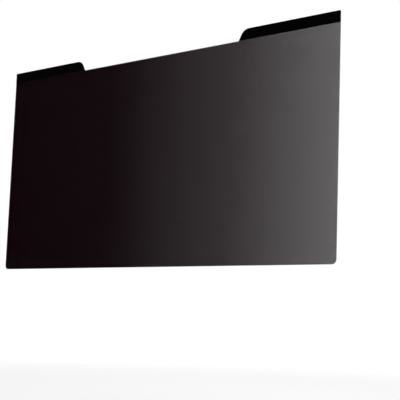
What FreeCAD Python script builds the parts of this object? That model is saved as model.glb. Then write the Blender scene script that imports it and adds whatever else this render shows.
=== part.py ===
import FreeCAD
import Part
import Sketcher
import math
import os

# Monitor privacy filter: a die-cut see-through sheet with an ear at each upper corner.
# Each ear carries a black cover on the front and a magnet strip on the back.
# Frame: X to the viewer's right, Y away from the viewer, Z up, origin in the middle of the box.

SIZES = {
    "film_width": 531,            # from side to side, over the tabs too
    "film_height": 284.5,         # from the lower edge to the line that the ears stand on
    "film_thickness": 0.5,
    "film_corner_radius": 6,      # both lower corners of the sheet
    "tab_length": 138,            # from the side of the sheet to the foot of the tab's inner end
    "tab_height": 14.5,           # how far a tab rises above the sheet
    "tab_end_angle": 64,          # degrees between the leaning inner end and the tab's foot
    "tab_shoulder_radius": 12,    # from the leaning end round into the upper edge
    "tab_corner_radius": 1.5,     # outer upper corner of a tab
    "ear_relief_radius": 1,       # keeps the sheet from tearing at the foot of an ear
    "cover_thickness": 0.3,
    "cover_edge_radius": 0.1,     # softened rim of a cover's front face
    "magnet_length": 112,
    "magnet_width": 12,
    "magnet_thickness": 1,
    "magnet_corner_radius": 1,
    "magnet_end_margin": 2.5,     # from the side of the sheet to the magnet's outer end
}

# Places shared by the pieces, as expressions of the driving sizes
SHEET_SIDE = "sizes.film_width / 2"
SHEET_LOW = "-(sizes.film_height + sizes.tab_height) / 2"
SHEET_HIGH = "(sizes.film_height - sizes.tab_height) / 2"
TAB_OUTER = "-sizes.film_width / 2"
TAB_FOOT = "sizes.tab_length - sizes.film_width / 2"
TAB_HIGH = "(sizes.film_height + sizes.tab_height) / 2"
MAGNET_OUTER = "sizes.magnet_end_margin - sizes.film_width / 2"
MAGNET_INNER = "sizes.magnet_end_margin + sizes.magnet_length - sizes.film_width / 2"
MAGNET_LOW = "(sizes.film_height - sizes.magnet_width) / 2"
MAGNET_HIGH = "(sizes.film_height + sizes.magnet_width) / 2"

# Depth of each seat: the covers' front faces and the magnets' back faces are the box's two sides
COVER_SEAT = "(sizes.cover_thickness - sizes.film_thickness - sizes.magnet_thickness) / 2"
MAGNET_SEAT = "(sizes.cover_thickness + sizes.film_thickness - sizes.magnet_thickness) / 2"
MAGNET_BACK = "(sizes.cover_thickness + sizes.film_thickness + sizes.magnet_thickness) / 2"

ORIGIN = -1     # number of the sketch's own origin point
START = 1
END = 2
NEAR = 1e-4     # two coordinates this close are the same

doc = FreeCAD.newDocument("monitor_privacy_filter")
sizes = doc.addObject("Spreadsheet::Sheet", "sizes")
for row, (alias, number) in enumerate(SIZES.items(), start=1):
    sizes.set(f"A{row}", alias)
    sizes.set(f"B{row}", str(number))
    sizes.setAlias(f"B{row}", alias)
doc.recompute()


def measure(expression):
    return float(sizes.evalExpression(expression))


def point(across, up):
    return FreeCAD.Vector(measure(across), measure(up), 0)


def add_body(label, back):
    """A body whose sketches lie at the depth of the piece's back face and are padded forwards."""
    body = doc.addObject("PartDesign::Body", label)
    body.Label = label
    body.setExpression("Placement.Base.y", back)
    return body


def add_sketch(body, name):
    sketch = body.newObject("Sketcher::SketchObject", name)
    upright = next(plane for plane in body.Origin.OriginFeatures if plane.Role == "XZ_Plane")
    sketch.AttachmentSupport = [(upright, "")]
    sketch.MapMode = "FlatFace"
    return sketch


def bind(sketch, name, expression, kind, *geometry):
    number = measure(expression)
    if kind == "Angle":
        number = math.radians(number)
    index = sketch.addConstraint(Sketcher.Constraint(kind, *geometry, number))
    sketch.renameConstraint(index, name)
    sketch.setExpression(f"Constraints.{name}", expression)


def bind_point(sketch, name, line, end, across, up):
    bind(sketch, f"{name}_across", across, "DistanceX", ORIGIN, START, line, end)
    bind(sketch, f"{name}_up", up, "DistanceY", ORIGIN, START, line, end)


def draw_rectangle(sketch, left, right, low, high):
    corners = [point(left, low), point(right, low), point(right, high), point(left, high)]
    for line, corner in enumerate(corners):
        sketch.addGeometry(Part.LineSegment(corner, corners[(line + 1) % 4]))
    for line in range(4):
        sketch.addConstraint(Sketcher.Constraint("Coincident", line, END, (line + 1) % 4, START))
        sketch.addConstraint(Sketcher.Constraint("Vertical" if line % 2 else "Horizontal", line))
    bind_point(sketch, "lower_left", 0, START, left, low)
    bind_point(sketch, "upper_right", 2, START, right, high)


def draw_tab(sketch):
    """The left tab's outline: foot, leaning inner end, round shoulder, upper edge and outer end."""
    radius = measure("sizes.tab_shoulder_radius")
    angle = math.radians(measure("sizes.tab_end_angle"))
    lean = measure("sizes.tab_height") / math.tan(angle)
    tip = point(TAB_FOOT, TAB_HIGH) - FreeCAD.Vector(lean, 0, 0)    # where end and upper edge would meet
    centre = tip - FreeCAD.Vector(radius * math.tan(angle / 2), radius, 0)
    circle = Part.Circle(centre, FreeCAD.Vector(0, 0, 1), radius)
    shoulder_low = centre + FreeCAD.Vector(math.sin(angle), math.cos(angle), 0) * radius
    shoulder_high = centre + FreeCAD.Vector(0, radius, 0)
    inner_low = point(TAB_FOOT, SHEET_HIGH)
    outer_low = point(TAB_OUTER, SHEET_HIGH)
    outer_high = point(TAB_OUTER, TAB_HIGH)

    foot = sketch.addGeometry(Part.LineSegment(outer_low, inner_low))
    inner = sketch.addGeometry(Part.LineSegment(inner_low, shoulder_low))
    shoulder = sketch.addGeometry(Part.ArcOfCircle(circle, math.pi / 2 - angle, math.pi / 2))
    upper = sketch.addGeometry(Part.LineSegment(shoulder_high, outer_high))
    outer = sketch.addGeometry(Part.LineSegment(outer_high, outer_low))

    sketch.addConstraint(Sketcher.Constraint("Coincident", foot, END, inner, START))
    sketch.addConstraint(Sketcher.Constraint("Tangent", inner, END, shoulder, START))
    sketch.addConstraint(Sketcher.Constraint("Tangent", shoulder, END, upper, START))
    sketch.addConstraint(Sketcher.Constraint("Coincident", upper, END, outer, START))
    sketch.addConstraint(Sketcher.Constraint("Coincident", outer, END, foot, START))
    sketch.addConstraint(Sketcher.Constraint("Horizontal", foot))
    sketch.addConstraint(Sketcher.Constraint("Horizontal", upper))
    sketch.addConstraint(Sketcher.Constraint("Vertical", outer))
    bind_point(sketch, "outer_foot", foot, START, TAB_OUTER, SHEET_HIGH)
    bind(sketch, "length", "sizes.tab_length", "DistanceX", foot, START, foot, END)
    bind(sketch, "height", "sizes.tab_height", "DistanceY", outer, END, outer, START)
    bind(sketch, "end_angle", "sizes.tab_end_angle * 1 deg", "Angle", inner, START, foot, END)
    bind(sketch, "shoulder", "sizes.tab_shoulder_radius", "Radius", shoulder)


def pad(body, sketch, name, thickness):
    feature = body.newObject("PartDesign::Pad", name)
    feature.Profile = sketch
    feature.Refine = True
    feature.setExpression("Length", thickness)
    doc.recompute()
    return feature


def corner_edges(shape, corners):
    """Names of the straight edges that run through the thickness at the given corners."""
    names = []
    for index, edge in enumerate(shape.Edges, start=1):
        box = edge.BoundBox
        if box.XLength > NEAR or box.ZLength > NEAR:
            continue
        if any(math.hypot(box.XMin - at.x, box.ZMin - at.y) < NEAR for at in corners):
            names.append(f"Edge{index}")
    return names


def front_edges(shape):
    """Names of the edges round the face nearest the viewer."""
    front = shape.BoundBox.YMin
    names = []
    for index, edge in enumerate(shape.Edges, start=1):
        if edge.BoundBox.YMax < front + NEAR:
            names.append(f"Edge{index}")
    return names


def round_off(body, name, edges, radius):
    base = body.Tip
    feature = body.newObject("PartDesign::Fillet", name)
    feature.Base = (base, edges)
    feature.Refine = True
    feature.setExpression("Radius", radius)
    doc.recompute()
    return feature


def mirrored_corners(across, up):
    left = point(across, up)
    return [left, FreeCAD.Vector(-left.x, left.y, 0)]


def make_film():
    body = add_body("privacy_film", MAGNET_SEAT)
    sheet_outline = add_sketch(body, "sheet_outline")
    draw_rectangle(sheet_outline, TAB_OUTER, SHEET_SIDE, SHEET_LOW, SHEET_HIGH)
    pad(body, sheet_outline, "sheet", "sizes.film_thickness")

    ear_outline = add_sketch(body, "ear_outline")
    draw_tab(ear_outline)
    ear = pad(body, ear_outline, "left_ear", "sizes.film_thickness")
    right_ear = body.newObject("PartDesign::Mirrored", "right_ear")
    right_ear.Originals = [ear]
    middle = next(plane for plane in body.Origin.OriginFeatures if plane.Role == "YZ_Plane")
    right_ear.MirrorPlane = (middle, [""])
    right_ear.Refine = True
    body.Tip = right_ear
    doc.recompute()

    rounds = {
        "lower_corners": (mirrored_corners(TAB_OUTER, SHEET_LOW), "sizes.film_corner_radius"),
        "ear_corners": (mirrored_corners(TAB_OUTER, TAB_HIGH), "sizes.tab_corner_radius"),
        "ear_reliefs": (mirrored_corners(TAB_FOOT, SHEET_HIGH), "sizes.ear_relief_radius"),
    }
    for name, (corners, radius) in rounds.items():
        round_off(body, name, corner_edges(body.Tip.Shape, corners), radius)
    return body


def make_cover():
    body = add_body("left_tab_cover", COVER_SEAT)
    outline = add_sketch(body, "cover_outline")
    draw_tab(outline)
    plate = pad(body, outline, "cover_plate", "sizes.cover_thickness")
    outer_corner = corner_edges(plate.Shape, [point(TAB_OUTER, TAB_HIGH)])
    rounded = round_off(body, "cover_corner", outer_corner, "sizes.tab_corner_radius")
    round_off(body, "cover_rim", front_edges(rounded.Shape), "sizes.cover_edge_radius")
    return body


def make_magnet():
    body = add_body("left_magnet_strip", MAGNET_BACK)
    outline = add_sketch(body, "magnet_outline")
    draw_rectangle(outline, MAGNET_OUTER, MAGNET_INNER, MAGNET_LOW, MAGNET_HIGH)
    strip = pad(body, outline, "magnet_block", "sizes.magnet_thickness")
    corners = []
    for across in (MAGNET_OUTER, MAGNET_INNER):
        for up in (MAGNET_LOW, MAGNET_HIGH):
            corners.append(point(across, up))
    round_off(body, "magnet_corners", corner_edges(strip.Shape, corners), "sizes.magnet_corner_radius")
    return body


def make_right_hand(left_piece):
    """The same piece for the other side, mirrored across the middle of the sheet."""
    label = left_piece.Label.replace("left", "right")
    piece = doc.addObject("Part::Mirroring", label)
    piece.Label = label
    piece.Source = left_piece
    piece.Normal = FreeCAD.Vector(1, 0, 0)
    return piece


film = make_film()
cover = make_cover()
magnet = make_magnet()
pieces = [film, cover, make_right_hand(cover), magnet, make_right_hand(magnet)]
doc.recompute()

for item in doc.Objects:
    if "Invalid" in item.State or "Error" in item.State:
        raise RuntimeError(f"{item.Label} did not build: {item.State}")
for piece in pieces:
    if piece.Shape.isNull() or not piece.Shape.isValid() or len(piece.Shape.Solids) != 1:
        raise RuntimeError(f"{piece.Label} is not one sound solid")

os.makedirs("parts", exist_ok=True)
for piece in pieces:
    piece.Shape.exportStep(f"parts/{piece.Label}.step")
    print(piece.Label, "volume", round(piece.Shape.Volume, 2), piece.Shape.optimalBoundingBox())
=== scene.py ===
import math

import bpy
from mathutils import Matrix, Vector


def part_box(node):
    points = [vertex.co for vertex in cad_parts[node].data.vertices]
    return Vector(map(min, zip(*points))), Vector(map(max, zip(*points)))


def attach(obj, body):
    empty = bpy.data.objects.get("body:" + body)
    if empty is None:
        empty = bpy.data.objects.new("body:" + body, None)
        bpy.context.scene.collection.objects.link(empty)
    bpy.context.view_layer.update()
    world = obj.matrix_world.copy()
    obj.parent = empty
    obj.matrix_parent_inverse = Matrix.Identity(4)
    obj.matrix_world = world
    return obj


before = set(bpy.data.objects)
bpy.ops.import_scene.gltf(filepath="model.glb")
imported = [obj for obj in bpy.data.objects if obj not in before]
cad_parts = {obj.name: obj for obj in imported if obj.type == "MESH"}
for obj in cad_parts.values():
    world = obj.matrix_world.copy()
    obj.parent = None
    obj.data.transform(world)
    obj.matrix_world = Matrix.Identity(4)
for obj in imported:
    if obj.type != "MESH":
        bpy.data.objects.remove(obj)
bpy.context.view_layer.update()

sides = ("left", "right")
filmLow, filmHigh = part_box("privacy_film")
tabLow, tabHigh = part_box("left_tab_cover")
filmMiddle = (filmLow.z + tabLow.z) / 2  # half way up the sheet, ears left out
print("frame: film", [round(length, 4) for length in filmHigh - filmLow], "m")


# Helpers for node trees
def newMaterial(name):
    material = bpy.data.materials.new(name)
    material.use_nodes = True
    tree = material.node_tree
    return material, tree, tree.nodes["Principled BSDF"]


def putMaterial(piece, material):
    piece.data.materials.clear()
    piece.data.materials.append(material)


def setSockets(node, values):
    for socket, value in values.items():
        node.inputs[socket].default_value = value


def addNode(tree, kind, sockets=None, **settings):
    node = tree.nodes.new(kind)
    for key, value in settings.items():
        setattr(node, key, value)
    setSockets(node, sockets or {})
    return node


def addTexture(tree, kind, sockets, **settings):  # fixed to the object
    place = addNode(tree, "ShaderNodeTexCoord")
    texture = addNode(tree, kind, sockets, **settings)
    tree.links.new(place.outputs["Object"], texture.inputs["Vector"])
    return texture


def addTone(tree, shader, texture, stops, colours):  # two colours that follow a texture
    ramp = addNode(tree, "ShaderNodeValToRGB")
    for element, stop, colour in zip(ramp.color_ramp.elements, stops, colours):
        element.position = stop
        element.color = (*colour, 1.0)
    tree.links.new(texture.outputs["Fac"], ramp.inputs["Fac"])
    tree.links.new(ramp.outputs["Color"], shader.inputs["Base Color"])


def addGloss(tree, shader, texture, roughness):
    smooth, rough = roughness
    gloss = addNode(tree, "ShaderNodeMapRange", {"To Min": smooth, "To Max": rough})
    tree.links.new(texture.outputs["Fac"], gloss.inputs["Value"])
    tree.links.new(gloss.outputs["Result"], shader.inputs["Roughness"])


def addBump(tree, shader, texture, strength, height):
    bump = addNode(tree, "ShaderNodeBump", {"Strength": strength, "Distance": height})
    tree.links.new(texture.outputs["Fac"], bump.inputs["Height"])
    tree.links.new(bump.outputs["Normal"], shader.inputs["Normal"])


def mixShaders(tree, first, second):
    mix = addNode(tree, "ShaderNodeMixShader")
    tree.links.new(first.outputs[0], mix.inputs[1])
    tree.links.new(second.outputs[0], mix.inputs[2])
    tree.links.new(mix.outputs[0], tree.nodes["Material Output"].inputs["Surface"])
    return mix


# Film: a clear sheet with a faint maroon cast and a fine anti-glare grain
film = {
    "cover": 0.225,          # share of light that each face of the sheet keeps
    "specular": 0.04,        # low, for its anti-reflection coat
    "roughness": (0.26, 0.36),
    "cast": ((0.0050, 0.0002, 0.0011), (0.0070, 0.0004, 0.0018)),
    "castStops": (0.3, 0.7),
    "cloudScale": 9.0,       # the cast varies over about 0.1 m
    "cloudDetail": 3.0,
    "grainScale": 6000.0,    # grains about 0.17 mm wide
    "grainDetail": 2.0,
    "grainHeight": 0.000002,
    "grainStrength": 0.25,
}


def filmMaterial():
    material, tree, shader = newMaterial("privacyFilm")
    setSockets(shader, {"Alpha": film["cover"], "Specular IOR Level": film["specular"]})
    cloudSockets = {"Scale": film["cloudScale"], "Detail": film["cloudDetail"]}
    grainSockets = {"Scale": film["grainScale"], "Detail": film["grainDetail"]}
    cloud = addTexture(tree, "ShaderNodeTexNoise", cloudSockets)
    grain = addTexture(tree, "ShaderNodeTexNoise", grainSockets)
    addTone(tree, shader, cloud, film["castStops"], film["cast"])
    addGloss(tree, shader, grain, film["roughness"])
    addBump(tree, shader, grain, film["grainStrength"], film["grainHeight"])
    return material


putMaterial(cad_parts["privacy_film"], filmMaterial())
print("film: anti-glare sheet")


# Louvres: the thousands of dark upright walls inside the sheet that close it to a side view
louvres = {
    "layers": {
        "film_louvres_front": {
            "pitch": 0.00019,                 # wall to wall
            "depth": 1.18,                    # depth of a wall, in pitches
            "cover": 0.785,                   # share of light that one face of a wall keeps
            "dye": (1.0, 0.922, 0.961, 1.0),  # tint of the light that gets through
        },
        "film_louvres_rear": {
            "pitch": 0.0001155,
            "depth": 1.56,
            "cover": 0.57,
            "dye": (1.0, 0.944, 0.972, 1.0),
        },
    },
    "gap": 0.00001,           # between the layers
    "wall": 0.000004,         # thickness of one wall
    "skin": 0.00003,          # clear film in front of the first layer
    "margin": 0.00005,        # clear rim round the walls
    "lowerCorner": 0.006,     # round lower corners of the sheet
    "earCorner": 0.0015,      # round outer corner of an ear
    "earAngle": 64.0,         # degrees between an ear's inner end and its foot
    "earShoulder": 0.012,     # from an ear's inner end round into its upper edge
    "colour": (0.0040, 0.0002, 0.0009, 1.0),
    "roughness": 1.0,
    "specular": 0.0,
}


def louvreMaterial(name, layer):
    material, tree, shader = newMaterial(name)
    setSockets(shader, {
        "Base Color": louvres["colour"],
        "Roughness": louvres["roughness"],
        "Specular IOR Level": louvres["specular"],
    })
    dye = addNode(tree, "ShaderNodeBsdfTransparent", {"Color": layer["dye"]})
    mix = mixShaders(tree, dye, shader)
    setSockets(mix, {"Fac": layer["cover"]})
    return material


def cornerDrop(inward, radius):  # how far a round corner pulls the edge back
    short = max(radius - inward, 0.0)
    return radius - math.sqrt(radius**2 - short**2)


def earRise(inward):  # height of an ear at a distance from the sheet's side
    length = tabHigh.x - tabLow.x
    height = tabHigh.z - tabLow.z
    angle = math.radians(louvres["earAngle"])
    shoulder = louvres["earShoulder"]
    leaning = (length - inward) * math.tan(angle)  # under the inner end
    centre = length - height / math.tan(angle) - shoulder * math.tan(angle / 2)
    past = max(inward - centre, 0.0)
    rounded = height - shoulder + math.sqrt(max(shoulder**2 - past**2, 0.0))  # under the shoulder
    return max(min(leaning, rounded) - cornerDrop(inward, louvres["earCorner"]), 0.0)


def trimLouvres(piece, low, high):  # the walls end on the sheet's outline
    for vertex in piece.data.vertices:
        inward = filmHigh.x - abs(vertex.co.x)
        if vertex.co.z > filmMiddle:
            vertex.co.z = high + earRise(inward)
        else:
            vertex.co.z = low + cornerDrop(inward, louvres["lowerCorner"])


def makeLouvres(name, layer, front):
    pitch = layer["pitch"]
    depth = layer["depth"] * pitch
    reach = filmHigh.x - louvres["margin"] - louvres["wall"] / 2  # centre of the last wall
    count = int(2 * reach / pitch) + 1
    low = filmLow.z + louvres["margin"]
    high = tabLow.z - louvres["margin"]
    bpy.ops.object.select_all(action="DESELECT")
    bpy.ops.mesh.primitive_cube_add(size=1.0)
    piece = bpy.context.object
    piece.name = name
    piece.scale = (louvres["wall"], depth, high - low)
    piece.location = (-(count - 1) / 2 * pitch, front + depth / 2, (low + high) / 2)
    bpy.ops.object.transform_apply(location=True, rotation=True, scale=True)
    array = piece.modifiers.new("walls", "ARRAY")
    array.count = count
    array.use_relative_offset = False
    array.use_constant_offset = True
    array.constant_offset_displace = (pitch, 0.0, 0.0)
    bpy.ops.object.modifier_apply(modifier=array.name)
    trimLouvres(piece, low, high)
    putMaterial(piece, louvreMaterial(name, layer))
    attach(piece, "root")
    print("louvres:", name, count, "walls")
    return front + depth + louvres["gap"]  # front of the next layer


layerFront = filmLow.y + louvres["skin"]
for layerName, layerSizes in louvres["layers"].items():
    layerFront = makeLouvres(layerName, layerSizes, layerFront)


# Tab covers: matte black plastic with a fine spark-eroded texture
tabs = {
    "tones": ((0.0002, 0.0002, 0.0002), (0.0006, 0.0006, 0.0006)),
    "toneStops": (0.35, 0.65),
    "specular": 0.006,
    "roughness": (0.42, 0.58),
    "textureScale": 2600.0,  # about 0.4 mm
    "textureDetail": 3.0,
    "textureHeight": 0.00002,
    "textureStrength": 0.4,
}


def tabMaterial():
    material, tree, shader = newMaterial("tabPlastic")
    setSockets(shader, {"Specular IOR Level": tabs["specular"]})
    textureSockets = {"Scale": tabs["textureScale"], "Detail": tabs["textureDetail"]}
    texture = addTexture(tree, "ShaderNodeTexNoise", textureSockets)
    addTone(tree, shader, texture, tabs["toneStops"], tabs["tones"])
    addGloss(tree, shader, texture, tabs["roughness"])
    addBump(tree, shader, texture, tabs["textureStrength"], tabs["textureHeight"])
    return material


tabPlastic = tabMaterial()
for side in sides:
    putMaterial(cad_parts[side + "_tab_cover"], tabPlastic)
print("tabs: matte black")


# Magnet strips: rolled magnet sheet with fine lines along its length
magnets = {
    "tones": ((0.018, 0.016, 0.015), (0.034, 0.031, 0.029)),
    "toneStops": (0.3, 0.7),
    "specular": 0.3,
    "roughness": 0.62,
    "speckScale": 900.0,     # about 1 mm
    "speckDetail": 4.0,
    "lineScale": 420.0,
    "lineDetail": 2.0,
    "lineDistortion": 1.5,
    "lineHeight": 0.00003,
    "lineStrength": 0.3,
}


def magnetMaterial():
    material, tree, shader = newMaterial("magnetSheet")
    setSockets(shader, {"Roughness": magnets["roughness"], "Specular IOR Level": magnets["specular"]})
    speckSockets = {"Scale": magnets["speckScale"], "Detail": magnets["speckDetail"]}
    lineSockets = {
        "Scale": magnets["lineScale"],
        "Detail": magnets["lineDetail"],
        "Distortion": magnets["lineDistortion"],
    }
    speck = addTexture(tree, "ShaderNodeTexNoise", speckSockets)
    lines = addTexture(tree, "ShaderNodeTexWave", lineSockets, bands_direction="Z")
    addTone(tree, shader, speck, magnets["toneStops"], magnets["tones"])
    addBump(tree, shader, lines, magnets["lineStrength"], magnets["lineHeight"])
    return material


magnetSheet = magnetMaterial()
for side in sides:
    putMaterial(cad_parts[side + "_magnet_strip"], magnetSheet)
print("magnets: rolled sheet")


# Studio: a pale floor that runs out into a white surround
studio = {
    "floorDrop": 0.25,       # floor below the film's lower edge
    "floorSize": 60.0,
    "floorColour": (0.86, 0.86, 0.86, 1.0),
    "floorRoughness": 0.9,
    "floorSpecular": 0.0,
    "fadeFrom": 0.6,         # distance at which the floor starts to go over into the surround
    "fadeTo": 3.0,
    "nearWhite": 0.35,       # share of plain white in the floor beside the object
    "surround": 0.55,        # strength of the light from all sides
    "surroundColour": (1.0, 1.0, 1.0, 1.0),
    "white": 1.0,            # strength at which the background is seen as white
}


def seenDirectly(tree):  # by the camera, in a reflection or through glass
    path = addNode(tree, "ShaderNodeLightPath")
    either = addNode(tree, "ShaderNodeMath", operation="MAXIMUM")
    seen = addNode(tree, "ShaderNodeMath", operation="MAXIMUM")
    tree.links.new(path.outputs["Is Camera Ray"], either.inputs[0])
    tree.links.new(path.outputs["Is Glossy Ray"], either.inputs[1])
    tree.links.new(either.outputs[0], seen.inputs[0])
    tree.links.new(path.outputs["Is Transmission Ray"], seen.inputs[1])
    return seen.outputs[0]


def floorMaterial():
    material, tree, shader = newMaterial("paleFloor")
    setSockets(shader, {
        "Base Color": studio["floorColour"],
        "Roughness": studio["floorRoughness"],
        "Specular IOR Level": studio["floorSpecular"],
    })
    white = addNode(tree, "ShaderNodeEmission", {"Strength": studio["white"]})
    place = addNode(tree, "ShaderNodeTexCoord")
    away = addNode(tree, "ShaderNodeVectorMath", operation="LENGTH")
    fade = addNode(tree, "ShaderNodeMapRange", {
        "From Min": studio["fadeFrom"],
        "From Max": studio["fadeTo"],
        "To Min": studio["nearWhite"],
    }, interpolation_type="SMOOTHSTEP")
    share = addNode(tree, "ShaderNodeMath", operation="MULTIPLY")
    mix = mixShaders(tree, shader, white)
    tree.links.new(place.outputs["Object"], away.inputs[0])
    tree.links.new(away.outputs["Value"], fade.inputs["Value"])
    tree.links.new(fade.outputs["Result"], share.inputs[0])
    tree.links.new(seenDirectly(tree), share.inputs[1])
    tree.links.new(share.outputs[0], mix.inputs["Fac"])
    return material


def makeFloor():
    bpy.ops.object.select_all(action="DESELECT")
    bpy.ops.mesh.primitive_plane_add(size=studio["floorSize"])
    floor = bpy.context.object
    floor.name = "floor"
    floor.location.z = filmLow.z - studio["floorDrop"]
    putMaterial(floor, floorMaterial())


def makeSurround():
    world = bpy.data.worlds.new("surround")
    bpy.context.scene.world = world
    world.use_nodes = True
    tree = world.node_tree
    background = tree.nodes["Background"]
    setSockets(background, {"Color": studio["surroundColour"]})
    strengths = {"To Min": studio["surround"], "To Max": studio["white"]}
    level = addNode(tree, "ShaderNodeMapRange", strengths)
    tree.links.new(seenDirectly(tree), level.inputs["Value"])
    tree.links.new(level.outputs["Result"], background.inputs["Strength"])


# Lamps: large and soft, all turned to the middle of the object
lamps = {
    "key": {"place": (0.9, -1.5, 1.5), "size": 1.4, "watts": 22.0},
    "top": {"place": (-0.5, -0.5, 2.2), "size": 1.6, "watts": 14.0},
    "back": {"place": (-0.4, 1.6, 1.2), "size": 1.4, "watts": 12.0},
}


def makeLamps():
    for name, lamp in lamps.items():
        light = bpy.data.lights.new(name, "AREA")
        light.shape = "DISK"
        light.size = lamp["size"]
        light.energy = lamp["watts"]
        holder = bpy.data.objects.new(name, light)
        bpy.context.scene.collection.objects.link(holder)
        holder.location = lamp["place"]
        holder.rotation_euler = (-holder.location).to_track_quat("-Z", "Y").to_euler()


makeFloor()
makeSurround()
makeLamps()
print("studio: floor, surround and", len(lamps), "lamps")


# Camera: low and to the right, with the lens raised as in the photograph
view = {
    "imageSize": 400.0,      # pixels
    "focalLength": 809.19,   # pixels
    "lensRise": 48.0,        # pixels from the middle of the image down to the lens axis
    "sensorWidth": 36.0,     # millimetres
    "azimuth": 33.221,       # degrees
    "elevation": -5.722,
    "roll": 2.046,
    "distance": 1.02096,
    "aimAcross": 0.08016,    # from the middle of the film
    "aimUp": -0.11908,
}


def makeCamera():
    azimuth = math.radians(view["azimuth"])
    elevation = math.radians(view["elevation"])
    back = Vector((
        math.sin(azimuth) * math.cos(elevation),
        -math.cos(azimuth) * math.cos(elevation),
        math.sin(elevation),
    ))
    aim = Vector((view["aimAcross"], filmLow.y, filmMiddle + view["aimUp"]))
    data = bpy.data.cameras.new("photoView")
    data.sensor_width = view["sensorWidth"]
    data.lens = view["focalLength"] * view["sensorWidth"] / view["imageSize"]
    data.shift_y = view["lensRise"] / view["imageSize"]
    camera = bpy.data.objects.new("photoView", data)
    bpy.context.scene.collection.objects.link(camera)
    turn = (-back).to_track_quat("-Z", "Y").to_matrix()
    roll = Matrix.Rotation(math.radians(view["roll"]), 3, "Z")
    camera.rotation_euler = (turn @ roll).to_euler()
    camera.location = aim + back * view["distance"]
    bpy.context.scene.camera = camera


makeCamera()
bpy.context.scene.view_settings.view_transform = "Standard"
print("camera: set")
